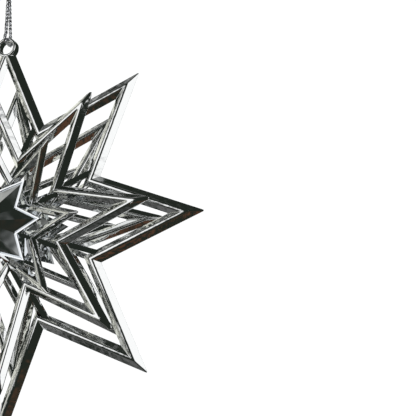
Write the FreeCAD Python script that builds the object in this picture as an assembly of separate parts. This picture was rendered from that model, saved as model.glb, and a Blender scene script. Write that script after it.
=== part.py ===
import FreeCAD, Part
import math
import os

os.makedirs("parts", exist_ok=True)

# A hanging star ornament, moulded in plastic and chrome finished.
# One flat eight-pointed outer frame is made of a front and a rear half that meet
# at a seam.  On each side of it sit a middle frame, an inner frame and a faceted
# centre star, each smaller and further out than the last.  Their points flare
# away from the outer frame, and short ribs at the valleys carry each one on the
# next.  A ring at the top point hangs on a doubled cord below a knot.
# Millimetres, +Z up, front towards -Y.  The origin is the top of the knot.

V = FreeCAD.Vector

# ---------------------------------------------------------------- dimensions
ARMS = 8
PITCH_DEG = 360.0 / ARMS
HALF_DEG = PITCH_DEG / 2.0
HALF = math.radians(HALF_DEG)

HOLE_DROP = 27.1
HOLE_OUT = 69.8
CENTRE_Z = -(HOLE_DROP + HOLE_OUT)

# outer frame: front flat's outline, flat width, seam outside and inside, depth
OUTER_TIP = 69.3
OUTER_VALLEY = 37.2
OUTER_FLAT = 1.1
OUTER_OUTSET = 2.15
OUTER_INSET = 2.9
OUTER_HALF_DEPTH = 1.5
OUTER_BLUNT = 74.5

# middle frame
MIDDLE_TIP = 53.9
MIDDLE_VALLEY = 24.8
MIDDLE_FLAT = 0.9
MIDDLE_OUTSET = 1.85
MIDDLE_INSET = 2.7
MIDDLE_HALF_DEPTH = 1.5
MIDDLE_TIP_OUT = 9.5
MIDDLE_VALLEY_OUT = 4.85
MIDDLE_BLUNT = 58.8
MIDDLE_TURN_FRONT = 4.2
MIDDLE_TURN_REAR = 0.0

# inner frame
INNER_TIP = 33.4
INNER_VALLEY = 15.6
INNER_FLAT = 0.7
INNER_OUTSET = 1.25
INNER_INSET = 2.0
INNER_HALF_DEPTH = 1.45
INNER_BLUNT = 36.7
INNER_TIP_OUT = 16.6
INNER_VALLEY_OUT = 7.35

# faceted centre star, a thin shell with a rim
CENTRE_TIP = 19.7
CENTRE_VALLEY = 12.1
CENTRE_RIM_OUT = 11.0
CENTRE_RIM_WIDTH = 0.45
CENTRE_GROOVE = 0.7
CENTRE_GROOVE_DEPTH = 0.5
CENTRE_FACET_EDGE = 0.95
CENTRE_FACET_STEP = 0.1
CENTRE_RIM_DEPTH = 1.6
CENTRE_APEX_OUT = 15.5
CENTRE_WALL = 1.6
CENTRE_SKIRT = 1.4

# valley ribs: width, and where each starts and ends as (radius, distance out)
MIDDLE_RIB_WIDTH = 1.9
MIDDLE_RIB = [(25.2, 2.3), (25.2, 4.3), (38.5, 0.75), (38.5, 0.1)]
INNER_RIB_WIDTH = 1.7
INNER_RIB = [(15.4, 5.2), (15.4, 6.9), (24.6, 4.2), (24.6, 3.0)]
CENTRE_RIB_WIDTH = 1.3
CENTRE_RIB = [(11.1, 9.55), (11.7, 10.7), (15.3, 6.5), (13.9, 6.1)]

# hanging ring
RING_RADIUS = 4.0
HOLE_RADIUS = 2.75
RING_HALF_DEPTH = 1.5
RING_CHAMFER = 0.35
TONGUE_WIDTH = 2.4
TONGUE_HALF_DEPTH = 0.7
TONGUE_END = 62.6

# cord and knot
CORD_RADIUS = 0.65
CORD_GAP = 0.3
PAIR_OFFSET = 0.7
BEND_RADIUS = 1.5
PAIR_TURN_DEG = -12.0
CORD_SECTIONS = 110
KNOT_HEIGHT = 4.5
KNOT_CORE_RADIUS = 2.0
KNOT_WRAP_MAJOR = 1.85
KNOT_WRAP_RADIUS = 0.55
KNOT_WRAPS = 4
KNOT_BORE_CLEARANCE = 0.06
KNOT_ROOF = 1.0


# ------------------------------------------------------------------- helpers
def star_point(radius, angle_deg, out):
    a = math.radians(angle_deg)
    return V(radius * math.cos(a), -out, CENTRE_Z + radius * math.sin(a))


def solid_from_faces(polygons):
    faces = []
    for polygon in polygons:
        faces.append(Part.Face(Part.makePolygon(polygon + [polygon[0]])))
    solid = Part.makeSolid(Part.makeShell(faces))
    if solid.Volume < 0:
        solid.reverse()
    return solid


def arm_lean(tip, valley):
    return math.atan2(valley * math.sin(HALF), tip - valley * math.cos(HALF))


def flare_centre(tip, valley, tip_out, valley_out):
    run = tip - valley * math.cos(HALF)
    rise = valley * math.sin(HALF)
    return tip_out + (valley_out - tip_out) * tip * run / (run * run + rise * rise)


def star_frame(tip, valley, section, tip_out, valley_out, blunt, turn, side):
    lean = arm_lean(tip, valley)
    middle_out = flare_centre(tip, valley, tip_out, valley_out)

    def mitre(k):
        at_tip = k % 2 == 0
        reach = tip if at_tip else valley
        reach_out = tip_out if at_tip else valley_out
        slope = math.sin(lean) if at_tip else math.sin(lean + HALF)
        points = []
        for inset, height in section:
            radius = reach - inset / slope
            out = middle_out + (reach_out - middle_out) * radius / reach + height
            points.append(star_point(radius, turn + k * HALF_DEG, side * out))
        return points

    polygons = []
    count = 2 * ARMS
    for k in range(count):
        a = mitre(k)
        b = mitre((k + 1) % count)
        for i in range(len(section)):
            j = (i + 1) % len(section)
            polygons.append([a[i], a[j], b[j], b[i]])
    frame = solid_from_faces(polygons)
    return frame.common(y_cylinder(blunt, 40.0, CENTRE_Z))


def bar_section(flat, outset, inset, half_depth):
    return [
        (0.0, 0.0),
        (flat, 0.0),
        (inset, -half_depth),
        (flat, -2.0 * half_depth),
        (0.0, -2.0 * half_depth),
        (-outset, -half_depth),
    ]


def rib(profile, width, angle_deg, side):
    across = math.radians(angle_deg + 90.0)
    step = V(math.cos(across), 0.0, math.sin(across)) * (width / 2.0)
    near = [star_point(r, angle_deg, side * out) - step for r, out in profile]
    far = [p + step * 2.0 for p in near]
    polygons = [near, far]
    for i in range(len(profile)):
        j = (i + 1) % len(profile)
        polygons.append([near[i], near[j], far[j], far[i]])
    return solid_from_faces(polygons)


def with_ribs(body, profile, width, turn, side, carrier):
    ribs = []
    for k in range(ARMS):
        angle = turn + HALF_DEG + k * PITCH_DEG
        ribs.append(rib(profile, width, angle, side))
    return body.fuse(ribs).cut(carrier).removeSplitter()


def centre_star(side):
    lean = arm_lean(CENTRE_TIP, CENTRE_VALLEY)

    def ring(inset, out):
        points = []
        for k in range(2 * ARMS):
            at_tip = k % 2 == 0
            reach = CENTRE_TIP if at_tip else CENTRE_VALLEY
            slope = math.sin(lean) if at_tip else math.sin(lean + HALF)
            points.append(star_point(reach - inset / slope, k * HALF_DEG, side * out))
        return points

    foot = CENTRE_RIM_OUT - CENTRE_RIM_DEPTH
    skirt_inner = ring(CENTRE_SKIRT, foot)
    skirt_outer = ring(0.0, foot)
    rim_outer = ring(0.0, CENTRE_RIM_OUT)
    rim_inner = ring(CENTRE_RIM_WIDTH, CENTRE_RIM_OUT)
    groove = ring(CENTRE_GROOVE, CENTRE_RIM_OUT - CENTRE_GROOVE_DEPTH)
    facet_edge = ring(CENTRE_FACET_EDGE, CENTRE_RIM_OUT - CENTRE_FACET_STEP)
    apex = star_point(0.0, 0.0, side * CENTRE_APEX_OUT)
    hollow = star_point(0.0, 0.0, side * (CENTRE_APEX_OUT - CENTRE_WALL))
    loops = [skirt_inner, skirt_outer, rim_outer, rim_inner, groove, facet_edge]
    polygons = []
    for k in range(2 * ARMS):
        n = (k + 1) % (2 * ARMS)
        for lower, upper in zip(loops[:-1], loops[1:]):
            polygons.append([lower[k], lower[n], upper[n], upper[k]])
        polygons.append([facet_edge[k], facet_edge[n], apex])
        polygons.append([skirt_inner[k], skirt_inner[n], hollow])
    return solid_from_faces(polygons)


def y_cylinder(radius, half_depth, z):
    return Part.makeCylinder(radius, 2.0 * half_depth, V(0, -half_depth, z), V(0, 1, 0))


def save(shape, name):
    shape.exportStep("parts/" + name + ".step")
    box = shape.BoundBox
    print("%-22s valid %s solids %d volume %.1f  x %.1f..%.1f y %.1f..%.1f z %.1f..%.1f" % (
        name, shape.isValid(), len(shape.Solids), shape.Volume,
        box.XMin, box.XMax, box.YMin, box.YMax, box.ZMin, box.ZMax))


# ----------------------------------------------------------- hanging ring
HOLE_Z = -HOLE_DROP
ring_disc = y_cylinder(RING_RADIUS, RING_HALF_DEPTH, HOLE_Z)
ring_disc = ring_disc.makeChamfer(RING_CHAMFER, [e for e in ring_disc.Edges if e.Closed and len(e.Vertexes) == 1])
tongue = Part.makeBox(TONGUE_WIDTH, 2.0 * TONGUE_HALF_DEPTH, HOLE_OUT - 3.4 - TONGUE_END,
                      V(-TONGUE_WIDTH / 2.0, -TONGUE_HALF_DEPTH, CENTRE_Z + TONGUE_END))
hole = y_cylinder(HOLE_RADIUS, RING_HALF_DEPTH, HOLE_Z)
mouths = []
for sign in (-1.0, 1.0):
    mouth = Part.makeCone(HOLE_RADIUS, HOLE_RADIUS + RING_CHAMFER, RING_CHAMFER,
                          V(0, sign * (RING_HALF_DEPTH - RING_CHAMFER), HOLE_Z), V(0, sign, 0))
    mouths.append(mouth)
eyelet = ring_disc.fuse(tongue).cut(hole.fuse(mouths)).removeSplitter()
save(eyelet, "hanging_ring")

# ----------------------------------------------------------- outer frame
half_section = [
    (0.0, OUTER_HALF_DEPTH),
    (OUTER_FLAT, OUTER_HALF_DEPTH),
    (OUTER_INSET, 0.0),
    (-OUTER_OUTSET, 0.0),
]
ring_seat = y_cylinder(RING_RADIUS, 3.0, HOLE_Z).fuse(tongue)
point_trim = Part.makeBox(12.0, 8.0, 12.0, V(-6.0, -4.0, HOLE_Z))
outer_halves = {}
for side, name in ((1.0, "outer_frame_front"), (-1.0, "outer_frame_rear")):
    half = star_frame(OUTER_TIP, OUTER_VALLEY, half_section, 0.0, 0.0, OUTER_BLUNT, 0.0, side)
    half = half.cut(ring_seat).cut(point_trim)
    outer_halves[side] = half
    save(half, name)

# ------------------------------------- middle, inner and centre, both sides
middle_section = bar_section(MIDDLE_FLAT, MIDDLE_OUTSET, MIDDLE_INSET, MIDDLE_HALF_DEPTH)
inner_section = bar_section(INNER_FLAT, INNER_OUTSET, INNER_INSET, INNER_HALF_DEPTH)
for side, end, turn in ((1.0, "front", MIDDLE_TURN_FRONT), (-1.0, "rear", MIDDLE_TURN_REAR)):
    middle = star_frame(MIDDLE_TIP, MIDDLE_VALLEY, middle_section,
                        MIDDLE_TIP_OUT, MIDDLE_VALLEY_OUT, MIDDLE_BLUNT, turn, side)
    middle = with_ribs(middle, MIDDLE_RIB, MIDDLE_RIB_WIDTH, turn, side, outer_halves[side])
    save(middle, "middle_star_" + end)
    inner = star_frame(INNER_TIP, INNER_VALLEY, inner_section,
                       INNER_TIP_OUT, INNER_VALLEY_OUT, INNER_BLUNT, 0.0, side)
    inner = with_ribs(inner, INNER_RIB, INNER_RIB_WIDTH, 0.0, side, middle)
    save(inner, "inner_star_" + end)
    centre = with_ribs(centre_star(side), CENTRE_RIB, CENTRE_RIB_WIDTH, 0.0, side, inner)
    save(centre, "centre_star_" + end)

# ------------------------------------------------------------------ cord
pivot_z = HOLE_Z + HOLE_RADIUS - CORD_GAP - CORD_RADIUS
leg_y = RING_HALF_DEPTH + CORD_GAP + CORD_RADIUS
leg_start = pivot_z + BEND_RADIUS
knot_foot = -KNOT_HEIGHT
leg_top = -KNOT_ROOF - 0.15
spread_low = pivot_z + 3.7
spread_high = knot_foot + 0.3


def leg(z, sign):
    t = max(0.0, min(1.0, (z - spread_low) / (spread_high - spread_low)))
    offset = sign * (leg_y + (PAIR_OFFSET - leg_y) * t)
    s = max(0.0, min(1.0, (z - leg_start) / (spread_low - leg_start)))
    turn = math.radians(PAIR_TURN_DEG) * s * s * (3.0 - 2.0 * s)
    return V(offset * math.sin(turn), offset * math.cos(turn), z)


rise = []
steps = 46
for i in range(steps + 1):
    rise.append(leg_start + (leg_top - leg_start) * i / steps)
path = [leg(z, -1.0) for z in reversed(rise)]
for i in range(1, 7):
    a = math.radians(15.0 * i)
    path.append(V(0, -(leg_y - BEND_RADIUS) - BEND_RADIUS * math.cos(a),
                  leg_start - BEND_RADIUS * math.sin(a)))
for i in range(-2, 3):
    path.append(V(0, i * (leg_y - BEND_RADIUS) / 3.0, pivot_z))
for i in range(6, 0, -1):
    a = math.radians(15.0 * i)
    path.append(V(0, (leg_y - BEND_RADIUS) + BEND_RADIUS * math.cos(a),
                  leg_start - BEND_RADIUS * math.sin(a)))
path += [leg(z, 1.0) for z in rise]
curve = Part.BSplineCurve()
curve.interpolate(path)
spine = Part.Wire([curve.toShape()])
first = curve.FirstParameter
last = curve.LastParameter
rims = []
side_way = V(1, 0, 0)
for i in range(CORD_SECTIONS + 1):
    u = first + (last - first) * i / CORD_SECTIONS
    along = curve.tangent(u)[0]
    side_way = side_way - along * side_way.dot(along)
    side_way.normalize()
    circle = Part.Circle(curve.value(u), along, CORD_RADIUS)
    circle.XAxis = side_way
    rims.append(Part.Wire([circle.toShape()]))
cord = Part.makeLoft(rims, True, True)
save(cord, "cord")
tube = math.pi * CORD_RADIUS ** 2 * spine.Length
print("cord radius %.2f, bend radius %.2f, length %.1f, volume over section times length %.4f" % (
    CORD_RADIUS, BEND_RADIUS, spine.Length, cord.Volume / tube))
print("pivot z %.3f, star centre z %.3f" % (pivot_z, CENTRE_Z))

# ------------------------------------------------------------------ knot
knot = Part.makeCylinder(KNOT_CORE_RADIUS, KNOT_HEIGHT - 0.15, V(0, 0, -KNOT_HEIGHT + 0.15))
top_edges = [e for e in knot.Edges if abs(e.BoundBox.ZMin) < 1e-6]
knot = knot.makeFillet(0.5, top_edges)
wraps = []
spacing = 2.0 * KNOT_WRAP_RADIUS - 0.05
for i in range(KNOT_WRAPS):
    z = -KNOT_HEIGHT + KNOT_WRAP_RADIUS + i * spacing
    wraps.append(Part.makeTorus(KNOT_WRAP_MAJOR, KNOT_WRAP_RADIUS, V(0, 0, z), V(0, 0, 1)))
bore_radius = PAIR_OFFSET + CORD_RADIUS + KNOT_BORE_CLEARANCE
bore = Part.makeCylinder(bore_radius, KNOT_HEIGHT - KNOT_ROOF + 1.0, V(0, 0, -KNOT_HEIGHT - 1.0))
knot = knot.fuse(wraps).cut(bore)
save(knot, "knot")
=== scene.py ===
import math

import bmesh
import bpy
from mathutils import Matrix, Vector


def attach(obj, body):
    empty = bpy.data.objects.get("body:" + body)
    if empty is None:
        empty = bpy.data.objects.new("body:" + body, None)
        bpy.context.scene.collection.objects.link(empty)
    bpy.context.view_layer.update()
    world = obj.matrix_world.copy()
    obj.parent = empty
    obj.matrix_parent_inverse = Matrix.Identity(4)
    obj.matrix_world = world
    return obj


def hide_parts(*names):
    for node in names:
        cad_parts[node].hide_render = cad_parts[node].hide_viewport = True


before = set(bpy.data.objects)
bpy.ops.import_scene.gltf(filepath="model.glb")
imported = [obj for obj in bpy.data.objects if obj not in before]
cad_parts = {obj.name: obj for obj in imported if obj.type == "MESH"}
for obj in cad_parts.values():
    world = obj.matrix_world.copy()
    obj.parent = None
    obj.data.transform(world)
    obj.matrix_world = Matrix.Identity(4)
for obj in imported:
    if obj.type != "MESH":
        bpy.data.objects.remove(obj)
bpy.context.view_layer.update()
scene = bpy.context.scene

# Lengths in millimetres and angles in degrees, the same as the CAD's. The hang point is at z 0.
MM = 0.001
POINTS = 8
STEP_DEG = 180.0 / POINTS
HALF = math.radians(STEP_DEG)
CENTRE_Z = -96.9
FRONT_TURN = 4.2

OUTER_TIP, OUTER_VALLEY = 69.3, 37.2
MIDDLE_TIP, MIDDLE_VALLEY = 53.9, 24.8
MIDDLE_TIP_OUT, MIDDLE_VALLEY_OUT = 9.5, 4.85
INNER_TIP, INNER_VALLEY = 33.4, 15.6
INNER_TIP_OUT, INNER_VALLEY_OUT = 16.6, 7.35
MIDDLE_RIB_WIDTH, INNER_RIB_WIDTH = 1.9, 1.7
TOP_TRIM = 66.5

HOLE_Z = -27.1
HOLE_RADIUS, RING_RADIUS, RING_HALF = 2.75, 4.0, 1.5
RING_EASE = 0.55
RING_STEPS = 72
FOOT_RISE = 64.5
FOOT_SIZE = (2.4, 1.4, 3.8)

CORD_RADIUS = 0.65
PLY_PITCH = 3.2
PIVOT_Z = -25.3
LEG_Y = 2.45
LEG_LOW_RISE = 3.7
LEG_TOP = -1.15
BEND = 1.5
PAIR = 0.7
PAIR_TURN = -12.0
LEG_STEPS = 150
BEND_STEPS = 12
KNOT_FOOT = -4.5
WRAP_RADIUS, WRAP_THREAD = 1.8, 0.55
WRAP_FOOT, WRAP_RISE = -3.95, 3.4
WRAP_TURNS, WRAP_STEPS = 4, 48
CORE_RADIUS, CORE_DEPTH = 1.75, 1.0

# How far each moulded point is rounded off along its bars.
OUTER_POINT, MIDDLE_POINT, INNER_POINT = 1.1, 3.8, 2.3
INSIDE_POINT = 0.35
TIP_STEPS = 4


# ------------------------------------------------------------ materials
BUMP_DEPTH = 0.0002
GRAIN_SCALE = 1900.0
STRAND_SCALE = 1300.0


def new_material(name):
    m = bpy.data.materials.new(name)
    m.use_nodes = True
    nodes = m.node_tree.nodes
    return m, nodes, m.node_tree.links, nodes["Principled BSDF"]


def chrome(name, tint, roughness, wave, grain, size=350.0):
    """Mirror plating with slow waves and a fine grain in its surface."""
    m, nodes, links, bsdf = new_material(name)
    bsdf.inputs["Base Color"].default_value = (*tint, 1.0)
    bsdf.inputs["Metallic"].default_value = 1.0
    bsdf.inputs["Roughness"].default_value = roughness
    place = nodes.new("ShaderNodeTexCoord")
    height = None
    for scale, strength, detail in ((size, wave, 1.0), (GRAIN_SCALE, grain, 2.0)):
        noise = nodes.new("ShaderNodeTexNoise")
        noise.inputs["Scale"].default_value = scale
        noise.inputs["Detail"].default_value = detail
        links.new(place.outputs["Object"], noise.inputs["Vector"])
        bump = nodes.new("ShaderNodeBump")
        bump.inputs["Strength"].default_value = strength
        bump.inputs["Distance"].default_value = BUMP_DEPTH
        links.new(noise.outputs["Fac"], bump.inputs["Height"])
        if height:
            links.new(height.outputs["Normal"], bump.inputs["Normal"])
        height = bump
    links.new(height.outputs["Normal"], bsdf.inputs["Normal"])
    return m


def thread(name):
    """Metallic thread with painted shade: its colour is darkened to near black in the gaps between its
    strands.
    """
    m, nodes, links, bsdf = new_material(name)
    bsdf.inputs["Metallic"].default_value = 1.0
    bsdf.inputs["Roughness"].default_value = 0.24
    place = nodes.new("ShaderNodeTexCoord")
    noise = nodes.new("ShaderNodeTexNoise")
    noise.inputs["Scale"].default_value = STRAND_SCALE
    noise.inputs["Detail"].default_value = 2.0
    links.new(place.outputs["Object"], noise.inputs["Vector"])
    # Painted shade: where the noise is low the ramp turns the thread's colour near black, standing in for
    # shade in the gaps between strands.
    ramp = nodes.new("ShaderNodeValToRGB")
    ramp.color_ramp.elements[0].position = 0.36
    ramp.color_ramp.elements[0].color = (0.03, 0.03, 0.04, 1.0)
    ramp.color_ramp.elements[1].position = 0.45
    ramp.color_ramp.elements[1].color = (0.90, 0.91, 0.96, 1.0)
    links.new(noise.outputs["Fac"], ramp.inputs["Fac"])
    links.new(ramp.outputs["Color"], bsdf.inputs["Base Color"])
    bump = nodes.new("ShaderNodeBump")
    bump.inputs["Strength"].default_value = 0.6
    bump.inputs["Distance"].default_value = BUMP_DEPTH
    links.new(noise.outputs["Fac"], bump.inputs["Height"])
    links.new(bump.outputs["Normal"], bsdf.inputs["Normal"])
    return m


plate = chrome("chrome_plate", (0.79, 0.80, 0.80), 0.03, 0.42, 0.05)
eye_plate = chrome("chrome_eye", (0.80, 0.81, 0.81), 0.03, 0.75, 0.05)
facet_plate = chrome("chrome_facet", (0.80, 0.82, 0.84), 0.03, 0.40, 0.0, 150.0)
silver = thread("silver_thread")


# ------------------------------------------------------- chrome mouldings
def star_point(radius, angle, out):
    a = math.radians(angle)
    return Vector((radius * math.cos(a), -out, CENTRE_Z + radius * math.sin(a))) * MM


def eased(corners, steps=4):
    """A closed outline with each corner (a, b, ease) rounded over the length ease."""
    points = []
    count = len(corners)
    for i, (p, q, ease) in enumerate(corners):
        corner = Vector((p, q))
        before = (Vector(corners[i - 1][:2]) - corner).normalized() * ease
        after = (Vector(corners[(i + 1) % count][:2]) - corner).normalized() * ease
        for j in range(steps + 1):
            t = j / steps
            points.append(corner + before * (1.0 - t) ** 2 + after * t * t)
    return points


def add_object(name, bm, material, smooth):
    mesh = bpy.data.meshes.new(name)
    bm.to_mesh(mesh)
    bm.free()
    for face in mesh.polygons:
        face.use_smooth = smooth
    mesh.materials.append(material)
    obj = bpy.data.objects.new(name, mesh)
    scene.collection.objects.link(obj)
    return obj


def moulding(name, bm, node, material):
    """One plated piece of the star, in place of its CAD node."""
    bmesh.ops.recalc_face_normals(bm, faces=bm.faces)
    obj = add_object(name, bm, material, True)
    even = obj.modifiers.new("even", "WEIGHTED_NORMAL")
    even.keep_sharp = True
    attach(obj, "star")
    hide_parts(node)


def strips(bm, rings, closed):
    """Faces between one ring of vertices and the next."""
    pairs = list(zip(rings[:-1], rings[1:]))
    if closed:
        pairs.append((rings[-1], rings[0]))
    for a, b in pairs:
        for i in range(len(a)):
            j = (i + 1) % len(a)
            bm.faces.new((a[i], a[j], b[j], b[i]))


def sharpen(bm, loops):
    """Hard edges along each closed loop of vertices."""
    for loop in loops:
        for i in range(len(loop)):
            edge = bm.edges.get((loop[i], loop[(i + 1) % len(loop)]))
            if edge:
                edge.smooth = False


def bars(bm, tip, valley, corners, tip_out, valley_out, turn, side, point):
    """One star of mitred bars: the section goes round its points and valleys, which stand out by
    tip_out and valley_out. Mitres at the valleys are sharp, and points are rounded over point."""
    run = tip - valley * math.cos(HALF)
    rise = valley * math.sin(HALF)
    lean = math.atan2(rise, run)
    middle_out = tip_out + (valley_out - tip_out) * tip * run / (run * run + rise * rise)

    def corner(k, inset, height):
        at_tip = k % 2 == 0
        reach, reach_out = (tip, tip_out) if at_tip else (valley, valley_out)
        slope = math.sin(lean) if at_tip else math.sin(lean + HALF)
        radius = reach - inset / slope
        out = middle_out + (reach_out - middle_out) * radius / reach + height
        return star_point(radius, turn + STEP_DEG * k, side * out)

    section = eased(corners)
    rings, valleys = [], []
    for k in range(2 * POINTS):
        if k % 2:
            ring = [bm.verts.new(corner(k, *p)) for p in section]
            rings.append(ring)
            valleys.append(ring)
            continue
        for j in range(TIP_STEPS + 1):
            t = j / TIP_STEPS
            ring = []
            for p in section:
                peak = corner(k, *p)
                ease = point * MM * (1.0 if p[0] <= 0.0 else INSIDE_POINT)
                before = (corner(k - 1, *p) - peak).normalized() * ease
                after = (corner(k + 1, *p) - peak).normalized() * ease
                ring.append(bm.verts.new(peak + before * (1.0 - t) ** 2 + after * t * t))
            rings.append(ring)
    strips(bm, rings, True)
    sharpen(bm, valleys)


def ribs(bm, profile, width, turn, side):
    """A short rib behind each valley, with its profile as (radius, height) corners."""
    for k in range(POINTS):
        angle = turn + STEP_DEG + 2.0 * STEP_DEG * k
        across = math.radians(angle + 90.0)
        step = Vector((math.cos(across), 0.0, math.sin(across))) * (width * 0.5 * MM)
        ends = []
        for sign in (-1.0, 1.0):
            ends.append([bm.verts.new(star_point(r, angle, side * out) + step * sign) for r, out in profile])
        strips(bm, ends, False)
        bm.faces.new(ends[0])
        bm.faces.new(ends[1])
        sharpen(bm, ends)
        for i in range(len(profile)):
            bm.edges.get((ends[0][i], ends[1][i])).smooth = False


def facing_section(flat, reach, outset, depth, ease, inside_ease, outside_ease):
    """Six corners, as (inset, height, ease): a flat front and back, with a ridge on either side."""
    return ((0, 0, ease), (flat, 0, ease), (reach, -0.5 * depth, inside_ease),
            (flat, -depth, ease), (0, -depth, ease), (-outset, -0.5 * depth, outside_ease))


OUTER = ((0, 1.5, 0.44), (1.1, 1.5, 0.44), (2.9, 0, 0.05), (-2.15, 0, 0.12))
MIDDLE = facing_section(0.9, 2.7, 1.85, 3.0, 0.35, 0.20, 0.35)
INNER = facing_section(0.7, 2.0, 1.25, 2.9, 0.27, 0.18, 0.28)
MIDDLE_RIB = ((25.2, 2.3), (25.2, 4.3), (38.5, 0.75), (38.5, 0.1))
INNER_RIB = ((15.4, 5.2), (15.4, 6.9), (24.6, 4.2), (24.6, 3.0))

for end, side, turn in (("front", 1.0, FRONT_TURN), ("rear", -1.0, 0.0)):
    bm = bmesh.new()
    bars(bm, OUTER_TIP, OUTER_VALLEY, OUTER, 0.0, 0.0, 0.0, side, OUTER_POINT)
    bmesh.ops.bisect_plane(bm, geom=bm.verts[:] + bm.edges[:] + bm.faces[:],
                           plane_co=(0, 0, (CENTRE_Z + TOP_TRIM) * MM), plane_no=(0, 0, 1), clear_outer=True)
    rim = [e for e in bm.edges if e.is_boundary]
    for edge in rim:
        edge.smooth = False
    bmesh.ops.holes_fill(bm, edges=rim)
    moulding("outer_bars_" + end, bm, "outer_frame_" + end, plate)

    bm = bmesh.new()
    bars(bm, MIDDLE_TIP, MIDDLE_VALLEY, MIDDLE, MIDDLE_TIP_OUT, MIDDLE_VALLEY_OUT, turn, side, MIDDLE_POINT)
    ribs(bm, MIDDLE_RIB, MIDDLE_RIB_WIDTH, turn, side)
    moulding("middle_bars_" + end, bm, "middle_star_" + end, plate)

    bm = bmesh.new()
    bars(bm, INNER_TIP, INNER_VALLEY, INNER, INNER_TIP_OUT, INNER_VALLEY_OUT, 0.0, side, INNER_POINT)
    ribs(bm, INNER_RIB, INNER_RIB_WIDTH, 0.0, side)
    moulding("inner_bars_" + end, bm, "inner_star_" + end, plate)

    bm = bmesh.new()
    bm.from_mesh(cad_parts["centre_star_" + end].data)
    bmesh.ops.remove_doubles(bm, verts=bm.verts, dist=1e-6)
    bmesh.ops.dissolve_limit(bm, angle_limit=math.radians(1.5), verts=bm.verts, edges=bm.edges)
    for edge in bm.edges:
        edge.smooth = False
    moulding("centre_facets_" + end, bm, "centre_star_" + end, facet_plate)

bm = bmesh.new()
eye = eased([(r, y, RING_EASE) for r, y in ((HOLE_RADIUS, -RING_HALF), (RING_RADIUS, -RING_HALF),
                                           (RING_RADIUS, RING_HALF), (HOLE_RADIUS, RING_HALF))])
rings = []
for i in range(RING_STEPS):
    a = math.radians(360.0 / RING_STEPS * i)
    ring = [Vector((r * math.cos(a), y, HOLE_Z + r * math.sin(a))) * MM for r, y in eye]
    rings.append([bm.verts.new(spot) for spot in ring])
strips(bm, rings, True)
foot = (Matrix.Translation((0, 0, (CENTRE_Z + FOOT_RISE) * MM))
        @ Matrix.Diagonal([size * MM for size in FOOT_SIZE] + [1.0]))
bmesh.ops.create_cube(bm, size=1.0, matrix=foot)
moulding("eye", bm, "hanging_ring", eye_plate)


# ----------------------------------------------------------- cord and knot
def leg(z, sign):
    """One leg of the doubled thread: the legs close in towards the knot and turn as a pair."""
    start, low = PIVOT_Z + BEND, PIVOT_Z + LEG_LOW_RISE
    t = max(0.0, min(1.0, (z - low) / (KNOT_FOOT + 0.3 - low)))
    u = max(0.0, min(1.0, (z - start) / (low - start)))
    offset = sign * (LEG_Y + (PAIR - LEG_Y) * t)
    turn = math.radians(PAIR_TURN) * u * u * (3.0 - 2.0 * u)
    return Vector((offset * math.sin(turn), offset * math.cos(turn), z)) * MM


def cord_line():
    """Down one leg, round the inside of the ring and up the other."""
    start = PIVOT_Z + BEND
    levels = [start + (LEG_TOP - start) * i / LEG_STEPS for i in range(LEG_STEPS + 1)]
    line = [leg(z, -1.0) for z in reversed(levels)]
    flat = LEG_Y - BEND
    for i in range(1, BEND_STEPS + 1):
        a = math.radians(90.0 / BEND_STEPS * i)
        line.append(Vector((0, -flat - BEND * math.cos(a), start - BEND * math.sin(a))) * MM)
    for i in range(-5, 6):
        line.append(Vector((0, i * flat / 6.0, PIVOT_Z)) * MM)
    for i in range(BEND_STEPS, 0, -1):
        a = math.radians(90.0 / BEND_STEPS * i)
        line.append(Vector((0, flat + BEND * math.cos(a), start - BEND * math.sin(a))) * MM)
    return line + [leg(z, 1.0) for z in levels]


def twisted_tube(name, line, radius, pitch, around=20):
    """A two-ply thread: the section is two lobes that turn along the line."""
    bm = bmesh.new()
    rings = []
    side = Vector((1, 0, 0))
    travelled = 0.0
    for i, p in enumerate(line):
        ahead = line[min(i + 1, len(line) - 1)] - line[max(i - 1, 0)]
        ahead.normalize()
        side = side - ahead * side.dot(ahead)
        side.normalize()
        up = ahead.cross(side)
        if i:
            travelled += (p - line[i - 1]).length
        spin = 2.0 * math.pi * travelled / (pitch * MM)
        ring = []
        for k in range(around):
            a = 2.0 * math.pi * k / around
            reach = radius * MM * (0.66 + 0.34 * abs(math.cos(a - spin)))
            ring.append(bm.verts.new(p + (side * math.cos(a) + up * math.sin(a)) * reach))
        rings.append(ring)
    strips(bm, rings, False)
    bm.faces.new(list(reversed(rings[0])))
    bm.faces.new(rings[-1])
    bmesh.ops.recalc_face_normals(bm, faces=bm.faces)
    return add_object(name, bm, silver, True)


line = cord_line()
cord = twisted_tube("cord_thread", line, CORD_RADIUS, PLY_PITCH)
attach(cord, "cord")
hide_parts("cord")

wrap_line = []
for i in range(WRAP_TURNS * WRAP_STEPS + 1):
    a = 2.0 * math.pi * i / WRAP_STEPS
    rise = WRAP_FOOT + WRAP_RISE * i / (WRAP_TURNS * WRAP_STEPS)
    wrap_line.append(Vector((WRAP_RADIUS * math.cos(a), WRAP_RADIUS * math.sin(a), rise)) * MM)
wraps = twisted_tube("knot_wraps", wrap_line, WRAP_THREAD, PLY_PITCH)
bm = bmesh.new()
bmesh.ops.create_cone(bm, cap_ends=True, segments=40, radius1=CORE_RADIUS * MM, radius2=CORE_RADIUS * MM,
                      depth=CORE_DEPTH * MM, matrix=Matrix.Translation((0, 0, -0.5 * CORE_DEPTH * MM)))
core = add_object("knot_core", bm, silver, False)
for piece in (wraps, core):
    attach(piece, "knot")
    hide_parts("knot")


# ------------------------------------------------------------ studio
def direction(azimuth, elevation):
    a, e = math.radians(azimuth), math.radians(elevation)
    return Vector((math.cos(e) * math.sin(a), -math.cos(e) * math.cos(a), math.sin(e)))


world = bpy.data.worlds.new("studio")
scene.world = world
world.use_nodes = True
wn, wl = world.node_tree.nodes, world.node_tree.links
back = wn["Background"]
coord = wn.new("ShaderNodeTexCoord")
walls = wn.new("ShaderNodeRGB")
walls.outputs[0].default_value = (0.80, 0.80, 0.80, 1.0)


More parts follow.
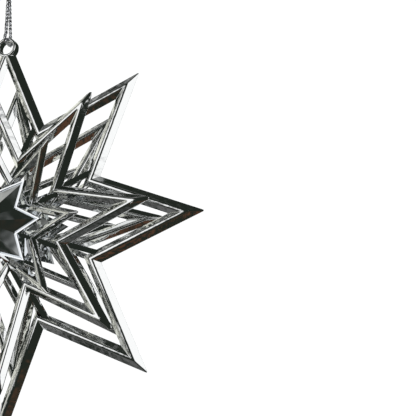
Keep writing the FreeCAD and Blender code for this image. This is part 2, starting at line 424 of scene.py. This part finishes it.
def lay(under, azimuth, elevation, half_angle, soft):
    """Cover one direction of the surroundings. The result's B input is what covers it. Azimuth 0 is in
    front of the star, and angles are in degrees."""
    dot = wn.new("ShaderNodeVectorMath")
    dot.operation = "DOT_PRODUCT"
    wl.new(coord.outputs["Generated"], dot.inputs[0])
    dot.inputs[1].default_value = direction(azimuth, elevation)
    edge = wn.new("ShaderNodeMapRange")
    edge.interpolation_type = "SMOOTHSTEP"
    edge.inputs["From Min"].default_value = math.cos(math.radians(half_angle + soft))
    edge.inputs["From Max"].default_value = math.cos(math.radians(half_angle - soft))
    wl.new(dot.outputs["Value"], edge.inputs["Value"])
    mix = wn.new("ShaderNodeMix")
    mix.data_type = "RGBA"
    wl.new(edge.outputs["Result"], mix.inputs["Factor"])
    wl.new(under, mix.inputs["A"])
    return mix


def card(under, azimuth, elevation, half_angle, soft, tone):
    """A plain flag or softbox."""
    mix = lay(under, azimuth, elevation, half_angle, soft)
    mix.inputs["B"].default_value = (*tone, 1.0)
    return mix.outputs["Result"]


def patches(under, azimuth, elevation, half_angle, soft, light, low, high):
    """A cluttered part of the room, in dark and light patches."""
    noise = wn.new("ShaderNodeTexNoise")
    noise.inputs["Scale"].default_value = PATCH_SCALE
    noise.inputs["Detail"].default_value = 2.0
    wl.new(coord.outputs["Generated"], noise.inputs["Vector"])
    ramp = wn.new("ShaderNodeValToRGB")
    ramp.color_ramp.elements[0].position = low
    ramp.color_ramp.elements[0].color = (*DARK, 1.0)
    ramp.color_ramp.elements[1].position = high
    ramp.color_ramp.elements[1].color = (*light, 1.0)
    wl.new(noise.outputs["Fac"], ramp.inputs["Fac"])
    mix = lay(under, azimuth, elevation, half_angle, soft)
    wl.new(ramp.outputs["Color"], mix.inputs["B"])
    return mix.outputs["Result"]


# A plain studio with pale grey walls: dark flags behind, in front and above, white softboxes behind and on
# either side in front, a cluttered left side and left ceiling, and a brown table below.
WHITE = (1.2, 1.2, 1.2)
DARK = (0.02, 0.025, 0.02)
BROWN = (0.10, 0.05, 0.03)
PATCH_SCALE = 10.0
room = walls.outputs[0]
room = card(room, 150, 0, 60, 10, DARK)
room = card(room, 180, 10, 20, 5, WHITE)
room = card(room, 15, 0, 90, 5, DARK)
room = patches(room, -105, 0, 60, 10, (1.0, 1.0, 0.9), 0.45, 0.55)
room = patches(room, -90, -50, 35, 10, (0.15, 0.15, 0.15), 0.40, 0.60)
room = patches(room, -70, 70, 25, 5, (0.35, 0.35, 0.35), 0.40, 0.60)
room = patches(room, 20, -50, 20, 5, BROWN, 0.45, 0.55)
room = card(room, -30, 10, 15, 5, WHITE)
room = card(room, 50, 10, 25, 5, WHITE)
room = card(room, 0, 90, 20, 5, DARK)

# Seen directly, the room is a plain white backdrop from every side. Only reflections and light meet
# the cards.
ray = wn.new("ShaderNodeLightPath")
seen = wn.new("ShaderNodeMix")
seen.data_type = "RGBA"
wl.new(ray.outputs["Is Camera Ray"], seen.inputs["Factor"])
wl.new(room, seen.inputs["A"])
seen.inputs["B"].default_value = (1.05, 1.06, 1.06, 1.0)
wl.new(seen.outputs["Result"], back.inputs["Color"])
back.inputs["Strength"].default_value = 1.0

# The floor, in metres, glows a little so that it stays as pale as the backdrop.
FLOOR_Z = -2.0
FLOOR_RADIUS = 0.55
bm = bmesh.new()
bmesh.ops.create_circle(bm, cap_ends=True, segments=96, radius=FLOOR_RADIUS,
                        matrix=Matrix.Translation((0, 0, FLOOR_Z)))
floor_material, _, _, floor_bsdf = new_material("pale_floor")
floor_bsdf.inputs["Base Color"].default_value = (0.92, 0.92, 0.92, 1.0)
floor_bsdf.inputs["Roughness"].default_value = 0.8
floor_bsdf.inputs["Emission Color"].default_value = (0.97, 0.98, 0.98, 1.0)
floor_bsdf.inputs["Emission Strength"].default_value = 0.8
floor = add_object("floor", bm, floor_material, False)

# ------------------------------------------------------------ camera
# Angles in degrees. AIM is where the star's centre is from the camera, in lengths of its outer points.
YAW, PITCH, ROLL = -10.86, -10.08, 2.86
AIM = Vector((-1.070, -0.099, -2.829))
LENS, SENSOR = 46.46, 36.0
turn = (Matrix.Rotation(math.radians(ROLL), 3, "Z") @ Matrix.Rotation(math.radians(PITCH), 3, "X")
        @ Matrix.Rotation(math.radians(YAW), 3, "Y"))
to_row = Matrix(((1, 0, 0), (0, 0, -1), (0, 1, 0)))
camera_data = bpy.data.cameras.new("camera")
camera_data.lens = LENS
camera_data.sensor_width = SENSOR
camera_data.clip_start = 0.01
camera = bpy.data.objects.new("camera", camera_data)
scene.collection.objects.link(camera)
spot = to_row @ (turn.transposed() @ -AIM) * (OUTER_TIP * MM) + Vector((0, 0, CENTRE_Z * MM))
camera.matrix_world = Matrix.Translation(spot) @ (to_row @ turn.transposed()).to_4x4()
scene.camera = camera
scene.view_settings.view_transform = "Standard"
